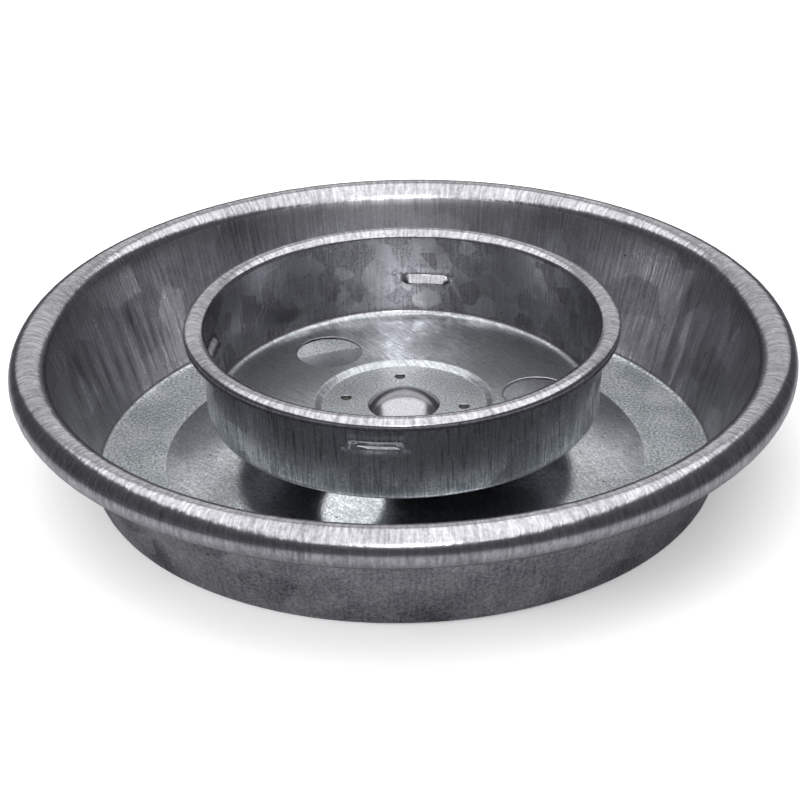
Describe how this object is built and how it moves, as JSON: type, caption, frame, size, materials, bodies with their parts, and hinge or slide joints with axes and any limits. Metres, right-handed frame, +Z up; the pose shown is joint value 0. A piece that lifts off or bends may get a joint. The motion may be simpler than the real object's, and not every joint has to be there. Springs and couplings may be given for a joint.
{
  "type": "poultry waterer fount base",
  "caption": "Round galvanised drinking pan with a rolled rim and a raised centre that carries a shallow screw cup for an inverted jar.",
  "frame": {"origin": "on the table, on the common axis of pan and cup, at the flat ring the base rests on", "axes": "+Z up along the axis; +X and +Y level, with the lowest thread lug 8 degrees clockwise of +X seen from above"},
  "size_m": [0.144, 0.144, 0.0295],
  "materials": {
    "galvanised_pan": "hot-dip zinc, satin, drawn",
    "galvanised_cup": "hot-dip zinc, satin, drawn, floor brushed",
    "weld_metal": "dull weld metal, sunk in its hole"
  },
  "bodies": {
    "root": {"trough_pan": "galvanised_pan", "screw_cup": "galvanised_cup", "plug_welds": "weld_metal"}
  },
  "joints": []
}
